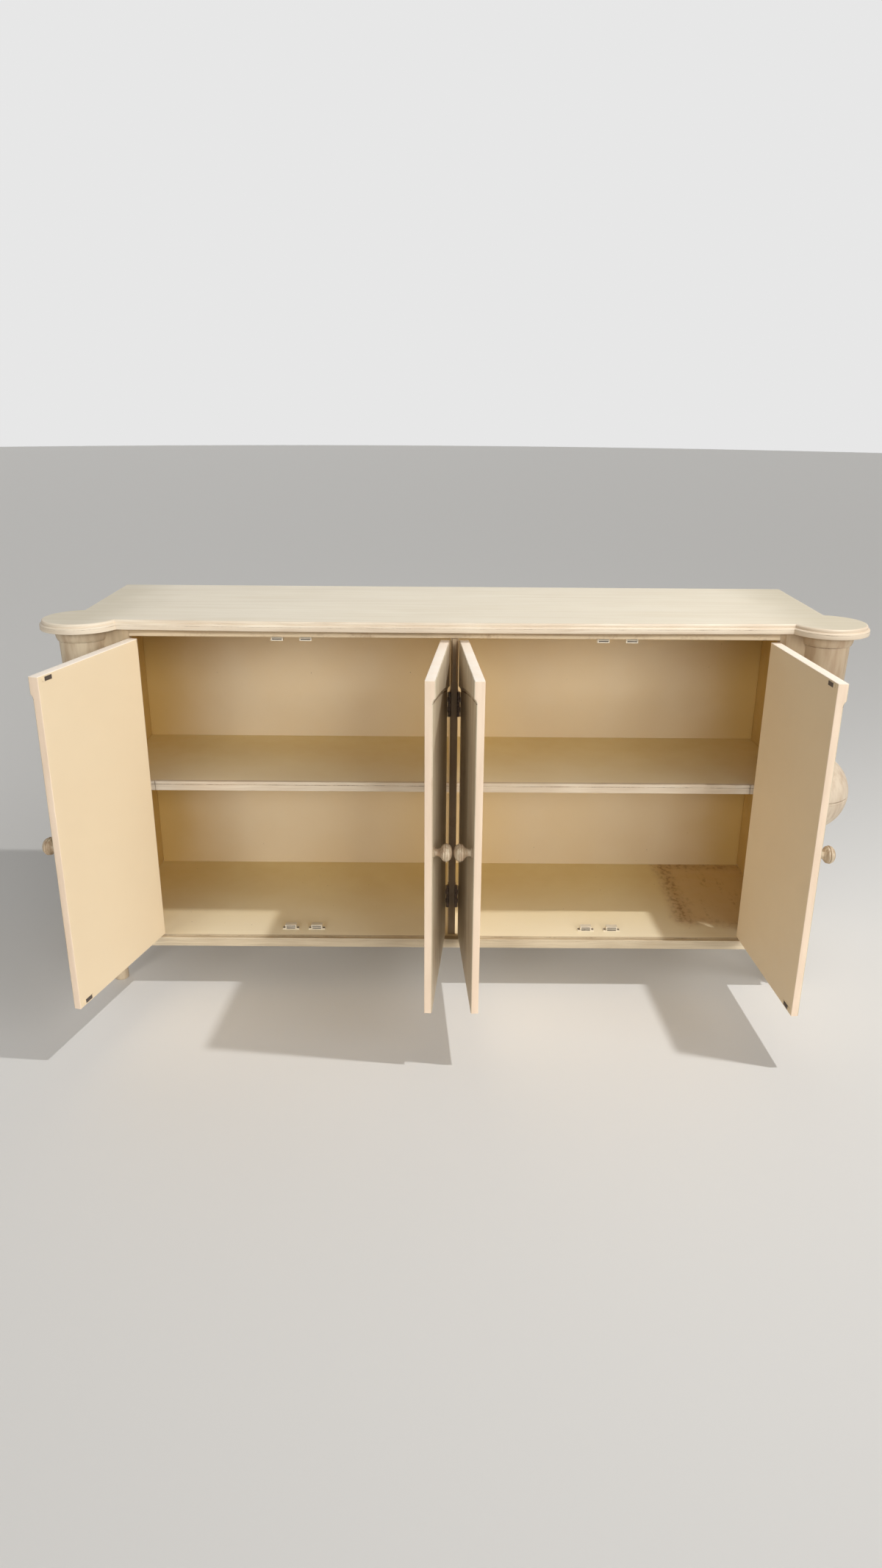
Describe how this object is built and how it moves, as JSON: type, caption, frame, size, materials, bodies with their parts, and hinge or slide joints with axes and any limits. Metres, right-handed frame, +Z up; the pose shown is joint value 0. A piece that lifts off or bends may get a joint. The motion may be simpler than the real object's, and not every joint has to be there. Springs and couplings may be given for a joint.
{
  "type": "credenza",
  "caption": "Low painted cupboard with turned ball-and-shaft corner columns, a lobed moulded top, paired arched doors on butt hinges, magnetic catches and an inner shelf.",
  "frame": {"origin": "on the floor, under the middle of the whole footprint with the doors open as at rest", "axes": "+X to the right seen from the front, along the length; +Y from the front to the back; +Z up"},
  "size_m": [1.8982, 0.8126, 0.94],
  "materials": {
    "cream_glazed": "brushed cream paint with a brown glaze",
    "cream_inside": "smooth cream paint",
    "dark_bronze": "oil-rubbed bronze",
    "ivory_plastic": "moulded ivory plastic",
    "dark_steel": "dull steel",
    "ferrite_magnet": "pressed ferrite"
  },
  "bodies": {
    "carcass": {"top_slab": "cream_glazed", "top_rail": "cream_glazed", "sub_top": "cream_inside", "bottom_board": "cream_inside", "base_moulding": "cream_glazed", "back_panel": "cream_inside", "partition": "cream_inside", "partition_block": "cream_glazed", "shelf_end_blocks": "cream_inside", "shelf_cleats": "cream_inside", "catch_bodies": "ivory_plastic", "catch_pole_plates": "dark_steel", "catch_magnets": "ferrite_magnet", "catch_screws": "dark_steel", "frame_hinge_leaves": "dark_bronze", "frame_hinge_screws": "dark_bronze", "hinge_pins": "dark_bronze", "left_side_panel": "cream_inside", "left_stile": "cream_glazed", "left_spandrel_block": "cream_glazed", "left_shelf": "cream_inside", "left_shelf_lipping": "cream_inside", "left_column_shaft": "cream_glazed", "left_column_ball": "cream_glazed", "left_column_leg": "cream_glazed", "left_rear_leg": "cream_glazed", "right_side_panel": "cream_inside", "right_stile": "cream_glazed", "right_spandrel_block": "cream_glazed", "right_shelf": "cream_inside", "right_shelf_lipping": "cream_inside", "right_column_shaft": "cream_glazed", "right_column_ball": "cream_glazed", "right_column_leg": "cream_glazed", "right_rear_leg": "cream_glazed"},
    "door_far_left": {"far_left_door": "cream_glazed", "far_left_knob": "cream_glazed", "far_left_hinge_leaves": "dark_bronze", "far_left_hinge_screws": "dark_bronze", "far_left_strike_plates": "dark_bronze", "far_left_strike_screws": "dark_bronze"},
    "door_mid_left": {"mid_left_door": "cream_glazed", "mid_left_knob": "cream_glazed", "mid_left_hinge_leaves": "dark_bronze", "mid_left_hinge_screws": "dark_bronze", "mid_left_strike_plates": "dark_bronze", "mid_left_strike_screws": "dark_bronze"},
    "door_mid_right": {"mid_right_door": "cream_glazed", "mid_right_knob": "cream_glazed", "mid_right_hinge_leaves": "dark_bronze", "mid_right_hinge_screws": "dark_bronze", "mid_right_strike_plates": "dark_bronze", "mid_right_strike_screws": "dark_bronze"},
    "door_far_right": {"far_right_door": "cream_glazed", "far_right_knob": "cream_glazed", "far_right_hinge_leaves": "dark_bronze", "far_right_hinge_screws": "dark_bronze", "far_right_strike_plates": "dark_bronze", "far_right_strike_screws": "dark_bronze"}
  },
  "joints": [
    {"name": "far_left_swing", "type": "hinge", "parent": "carcass", "child": "door_far_left", "pos_m": [-0.743, -0.04068, 0.517], "axis": [0, 0, -1], "range_deg": [-106, 24]},
    {"name": "mid_left_swing", "type": "hinge", "parent": "carcass", "child": "door_mid_left", "pos_m": [-0.0105, -0.04068, 0.517], "axis": [0, 0, 1], "range_deg": [-85.16, 0]},
    {"name": "mid_right_swing", "type": "hinge", "parent": "carcass", "child": "door_mid_right", "pos_m": [0.0105, -0.04068, 0.517], "axis": [0, 0, -1], "range_deg": [-86.16, 0]},
    {"name": "far_right_swing", "type": "hinge", "parent": "carcass", "child": "door_far_right", "pos_m": [0.743, -0.04068, 0.517], "axis": [0, 0, 1], "range_deg": [-94, 36]}
  ]
}
